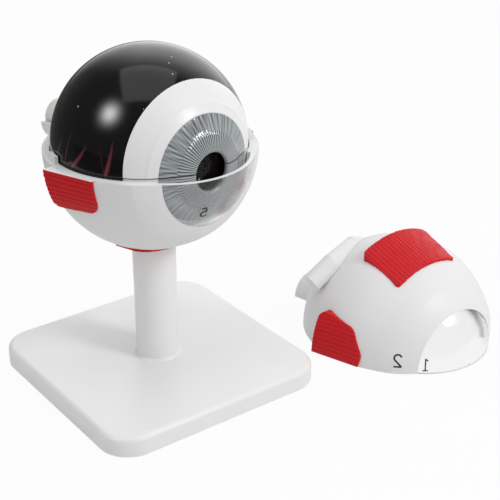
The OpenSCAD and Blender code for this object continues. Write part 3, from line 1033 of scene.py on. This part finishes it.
def build_dust():
    """Specks of dust on the black coat, each a small flattened grain."""
    s = sizes()
    bm = bmesh.new()
    for lon, lat, size in DUST:
        spot = direction(math.radians(lon), math.radians(lat)) * s.coat_radius
        turn = Vector(spot).to_track_quat("Z", "Y").to_matrix().to_4x4()
        flatten = Matrix.Diagonal((size * MM, size * MM, 0.4 * size * MM, 1))
        grain = dome_frame() @ Matrix.Translation(spot) @ turn @ flatten
        bmesh.ops.create_icosphere(bm, subdivisions=2, radius=1.0, matrix=grain)
    mesh = bpy.data.meshes.new("dust_specks")
    bm.to_mesh(mesh)
    bm.free()
    obj = bpy.data.objects.new("dust_specks", mesh)
    bpy.context.collection.objects.link(obj)
    fit_piece(obj, once(moulded, "dust"), "upper_ball", "choroid_black")


# ---------- retina ----------


RETINA_WALL = 1.0 * MM


def vessel_paths():
    """Vessels of the retina: arcades that fork from the optic disc."""
    rng = random.Random(11)
    disc = np.array([191.0, 0.0])
    paths = []

    def grow(start, heading, reach, width, forks):
        """One vessel that wanders and thins, and forks at its end."""
        points = [start]
        bend = rng.uniform(-1.2, 1.2)
        for _ in range(int(reach / 3)):
            heading += bend + rng.uniform(-3, 3)
            step = 3 * np.array([math.cos(math.radians(heading)), math.sin(math.radians(heading))])
            points.append(points[-1] + step)
        for first, last in zip(points, points[1:]):
            paths.append((first, last, width))
            width *= 0.93
        if forks:
            for turn in (-24, 20):
                grow(points[-1], heading + turn, reach * 0.75, width, forks - 1)

    for heading in (35, 75, 118, 158, -35, -75, -118, -158):
        grow(disc, heading, 24, 1.3, 2)
    return paths


def build_retina(side, place, body, node):
    """Retina lining with painted vessels inside."""
    s = sizes()
    radius = s.coat_radius - s.coat_wall - 0.05 * MM
    inside = radius - RETINA_WALL
    outline = coat_outline(radius, RETINA_WALL, s.band_angle, 60, 180)
    obj, points = half_turn(node + "_lining", outline, place, side, 260)
    cover = np.zeros(len(points))
    for first, last, width in vessel_paths():
        a = direction(*np.radians(first)) * inside
        b = direction(*np.radians(last)) * inside
        run = b - a
        t = np.clip((points - a) @ run / (run @ run), 0, 1)[:, None]
        gap = np.linalg.norm(points - a - t * run, axis=1)
        cover = np.maximum(cover, np.clip((width * MM * 0.6 - gap) / (0.3 * MM), 0, 1))
    store(obj, "vessel", cover)
    fit_piece(obj, once(retina_paint), body, "retina_red", node)


# ---------- operators ----------


class EYE_OT_stand(bpy.types.Operator):
    """Dress the base, the post and the screw"""

    bl_idname = "eye.stand"
    bl_label = "Stand"

    def execute(self, context):
        dress(once(moulded, "stand_moulded"), "base_plate", "post")
        dress(once(moulded, "steel_brushed"), "globe_screw")
        return {"FINISHED"}


class EYE_OT_outer_shells(bpy.types.Operator):
    """Dress the two white outer shells and the tendons of the oblique muscles"""

    bl_idname = "eye.outer_shells"
    bl_label = "Outer shells"

    def execute(self, context):
        white = once(moulded, "shell_moulded")
        dress(white, "sclera_lower", "sclera_upper", "inferior_oblique", "superior_oblique")
        return {"FINISHED"}


class EYE_OT_clear_parts(bpy.types.Operator):
    """Dress the cornea, the lens and the vitreous body"""

    bl_idname = "eye.clear_parts"
    bl_label = "Clear parts"

    def execute(self, context):
        c = colours()
        dress(clear_plastic("cornea_clear", c.clear, 0.13, 1.49), "cornea_lower", "cornea_upper")
        # lens and vitreous get a grey tint of painted shade, to darken the pupil
        dress(clear_plastic("lens_clear", c.pupil_shade_tint, 0.03, 1.22), "lens")
        dress(clear_plastic("vitreous_clear", c.pupil_shade_tint, 0.04, 1.12), "vitreous_body")
        build_cut_face("cornea_lower_cut", globe_frame(), "root")
        build_cut_face("cornea_upper_cut", lifted_frame(), "upper_shell")
        return {"FINISHED"}


class EYE_OT_muscles(bpy.types.Operator):
    """Build the six ribbed muscle pads"""

    bl_idname = "eye.muscles"
    bl_label = "Muscles"

    def execute(self, context):
        globe, lifted = globe_frame(), lifted_frame()
        tilt = sizes().muscle_tilt
        for node, body, place, away, rise in (
            ("medial_rectus_lower", "root", globe, ("x", -1), tilt),
            ("lateral_rectus_lower", "root", globe, ("x", 1), tilt),
            ("inferior_rectus", "root", globe, ("z", -1), sizes().lower_muscle_tilt),
            ("medial_rectus_upper", "upper_shell", lifted, ("x", -1), tilt),
            ("lateral_rectus_upper", "upper_shell", lifted, ("x", 1), tilt),
            ("superior_rectus", "upper_shell", lifted, ("z", 1), tilt),
        ):
            build_muscle(node, body, place, away, rise)
        return {"FINISHED"}


class EYE_OT_inner_ball(bpy.types.Operator):
    """Build the black coat, the retina, the white band and the iris of both halves"""

    bl_idname = "eye.inner_ball"
    bl_label = "Inner ball"

    def execute(self, context):
        for side, place, body, half in (
            (LOWER, bowl_frame(), "lower_ball", "lower"),
            (UPPER, dome_frame(), "upper_ball", "upper"),
        ):
            build_choroid(side, place, body, "choroid_" + half)
            build_retina(side, place, body, "retina_" + half)
            build_band(side, place, body, "front_band_" + half)
            build_iris(side, place, body, "iris_" + half)
        dress(once(ciliary_paint), "ciliary_body_lower", "ciliary_body_upper")
        dress(once(moulded, "nerve_moulded"), "optic_nerve_lower", "optic_nerve_upper")
        return {"FINISHED"}


class EYE_OT_marks(bpy.types.Operator):
    """Print the numerals and scatter the dust"""

    bl_idname = "eye.marks"
    bl_label = "Marks"

    def execute(self, context):
        s = sizes()
        middle = np.zeros(3)
        cornea = np.array([0.0, -s.cornea_ahead, 0.0])
        lifted, globe = lifted_frame(), globe_frame()
        build_numeral(
            "numeral_two", 2, 5.4 * MM, 1.0, -43.3, 8.2, middle, lifted, "sclera_upper",
            "upper_shell", "sclera_plastic",
        )
        build_numeral(
            "numeral_one", 1, 5.0 * MM, 0.75, -39.7, 7.8, cornea, lifted, "cornea_upper",
            "upper_shell", "clear_plastic",
        )
        build_numeral(
            "numeral_five", 5, 4.2 * MM, 1.0, -15.3, -25.4, cornea, globe, "cornea_lower",
            "root", "clear_plastic",
        )
        build_dust()
        return {"FINISHED"}


class EYE_OT_stage(bpy.types.Operator):
    """Set the floor, the soft studio light and the camera"""

    bl_idname = "eye.stage"
    bl_label = "Stage"

    def execute(self, context):
        build_floor()
        build_sky()
        build_lamps()
        build_camera()
        return {"FINISHED"}


# ---------- stage ----------


FLOOR_SHADE = 0.74  # how light the floor is under the lamps, where shadows show
FLOOR_GLOW = 0.94  # share of plain white in it, as the camera sees it


def build_floor():
    """Plain white floor that takes the model's shadow; glossy surfaces see it white behind the
    model, and darker in front of it and on its left, where the studio is dark."""
    bpy.ops.mesh.primitive_plane_add(size=6.0, location=(0, 0, -0.0002))
    floor = bpy.context.object
    floor.name = "floor"
    material, tree, shader = new_material("floor_white", Roughness=0.9)
    shader.inputs["Base Color"].default_value = rgba([FLOOR_SHADE] * 3)
    light = add(tree, "LightPath").outputs
    glossy = light["Is Glossy Ray"]
    seen = maths(tree, "MAXIMUM", light["Is Camera Ray"], light["Is Transmission Ray"])
    place = add(tree, "TexCoord").outputs["Object"]
    turn = stage_settings().camera_azimuth
    rightward = along_way(tree, place, (math.cos(turn), math.sin(turn), 0))
    ahead = along_way(tree, place, (math.sin(turn), -math.cos(turn), 0))
    bright_right = spread(tree, rightward, -0.16, -0.04, 0.08, 1.0)
    dark_ahead = spread(tree, ahead, 0.0, 0.15, 1.0, 0.22)
    mirrored = maths(tree, "MULTIPLY", bright_right, dark_ahead)
    mirrored = maths(tree, "MULTIPLY", glossy, mirrored)
    strength = maths(tree, "MAXIMUM", seen, mirrored)
    white = add(tree, "Emission", Color=(1, 1, 1, 1), Strength=strength)
    shown = maths(tree, "MAXIMUM", seen, glossy)
    mixed_surface(tree, maths(tree, "MULTIPLY", shown, FLOOR_GLOW), shader, white)
    floor.data.materials.append(material)


# Soft windows of the studio as glossy surfaces see them: where each is and how it falls off
ROUND_GLOW = (-0.7538, 0.0435, 0.655)
ROUND_GLOW_LEVEL = 16.0
ROUND_GLOW_FALL = 82.0
BACK_LOBE = (0.6165, 0.7092, 0.342)
BACK_LOBE_LEVEL = 1.63
BACK_LOBE_FALL = 1.6
LEFT_DARK = (-0.643, 0.766, 0.0)
DARK_STUDIO = 0.12


def build_sky():
    """White studio to the camera; glossy surfaces see a bright back and a round glow in it."""
    world = bpy.data.worlds.new("studio")
    bpy.context.scene.world = world
    world.use_nodes = True
    tree = world.node_tree
    background = tree.nodes["Background"]
    way = add(tree, "TexCoord").outputs["Generated"]
    off = maths(tree, "SUBTRACT", along_way(tree, way, ROUND_GLOW), 1.0)
    glow = maths(tree, "EXPONENT", maths(tree, "MULTIPLY", off, ROUND_GLOW_FALL), 0.0)
    glow = maths(tree, "MULTIPLY", glow, ROUND_GLOW_LEVEL)
    near_lobe = spread(tree, along_way(tree, way, BACK_LOBE), 0.5, 0.92, 0.0, 1.0)
    lobe = maths(tree, "POWER", near_lobe, BACK_LOBE_FALL)
    lobe = maths(tree, "MULTIPLY", lobe, BACK_LOBE_LEVEL)
    dimmed = spread(tree, along_way(tree, way, LEFT_DARK), 0.3, 0.72, 1.0, 0.06)
    lobe = maths(tree, "MULTIPLY", lobe, dimmed)
    studio = maths(tree, "ADD", maths(tree, "ADD", glow, lobe), DARK_STUDIO)
    light = add(tree, "LightPath").outputs
    seen = maths(tree, "MAXIMUM", light["Is Camera Ray"], light["Is Transmission Ray"])
    level = blend_values(tree, light["Is Glossy Ray"], stage_settings().sky, studio)
    shown = blend_values(tree, seen, level, 1.0)
    tree.links.new(shown, background.inputs["Strength"])
    background.inputs["Color"].default_value = (1, 1, 1, 1)


def camera_back():
    """Unit vector from the aim to the camera."""
    settings = stage_settings()
    a, e = settings.camera_azimuth, settings.camera_elevation
    return (math.sin(a) * math.cos(e), -math.cos(a) * math.cos(e), math.sin(e))


def aim_at(obj, target):
    """Turns a lamp or the camera towards a point."""
    obj.rotation_euler = (Vector(target) - obj.location).to_track_quat("-Z", "Y").to_euler()


def add_lamp(name, place, target, size, watts, shape="SQUARE"):
    """An area lamp that shines at a point."""
    data = bpy.data.lights.new(name, "AREA")
    data.shape = shape
    data.size = size
    data.energy = watts
    lamp = bpy.data.objects.new(name, data)
    lamp.location = place
    bpy.context.collection.objects.link(lamp)
    aim_at(lamp, target)
    return lamp


def build_lamps():
    """Three soft lamps; the side lamp only lights, and isn't mirrored."""
    settings = stage_settings()
    add_lamp("front_lamp", (0.417, -0.819, 0.771), (0, 0, 0.09), 0.3, settings.front_lamp, "DISK")
    top = add_lamp("top_lamp", (0.0, 0.001, 1.12), (0, 0, 0.12), 0.93, settings.top_lamp)
    top.rotation_euler = (0, 0, settings.camera_azimuth)
    side = add_lamp("side_lamp", (1.15, -0.35, 0.4), (0.03, -0.01, 0.06), 0.8, settings.side_lamp)
    side.visible_glossy = False


def build_camera():
    """Camera at the photograph's place."""
    settings = stage_settings()
    data = bpy.data.cameras.new("camera")
    data.sensor_width = 36.0
    data.lens = settings.camera_lens
    camera = bpy.data.objects.new("camera", data)
    back = Vector(camera_back())
    camera.location = Vector(settings.camera_aim) + back * settings.camera_distance
    aim_at(camera, settings.camera_aim)
    bpy.context.collection.objects.link(camera)
    bpy.context.scene.camera = camera
    bpy.context.scene.view_settings.view_transform = "Standard"


# ---------- panel and registration ----------

OPERATORS = (
    EYE_OT_stand,
    EYE_OT_outer_shells,
    EYE_OT_clear_parts,
    EYE_OT_muscles,
    EYE_OT_inner_ball,
    EYE_OT_marks,
    EYE_OT_stage,
)


class EYE_PT_panel(bpy.types.Panel):
    """Lists the steps that dress the eye model"""

    bl_idname = "EYE_PT_panel"
    bl_label = "Eye Model"
    bl_space_type = "VIEW_3D"
    bl_region_type = "UI"
    bl_category = "Eye Model"

    def draw(self, context):
        for operator in OPERATORS:
            self.layout.operator(operator.bl_idname)


CLASSES = (EyeSizes, EyeColours, EyeStage) + OPERATORS + (EYE_PT_panel,)


def register():
    for cls in CLASSES:
        bpy.utils.register_class(cls)
    bpy.types.Scene.eye_sizes = bpy.props.PointerProperty(type=EyeSizes)
    bpy.types.Scene.eye_colours = bpy.props.PointerProperty(type=EyeColours)
    bpy.types.Scene.eye_stage = bpy.props.PointerProperty(type=EyeStage)


def unregister():
    del bpy.types.Scene.eye_stage
    del bpy.types.Scene.eye_colours
    del bpy.types.Scene.eye_sizes
    for cls in reversed(CLASSES):
        bpy.utils.unregister_class(cls)


def main():
    register()
    for operator in OPERATORS:
        group, name = operator.bl_idname.split(".")
        getattr(getattr(bpy.ops, group), name)()


if __name__ == "__main__":
    main()
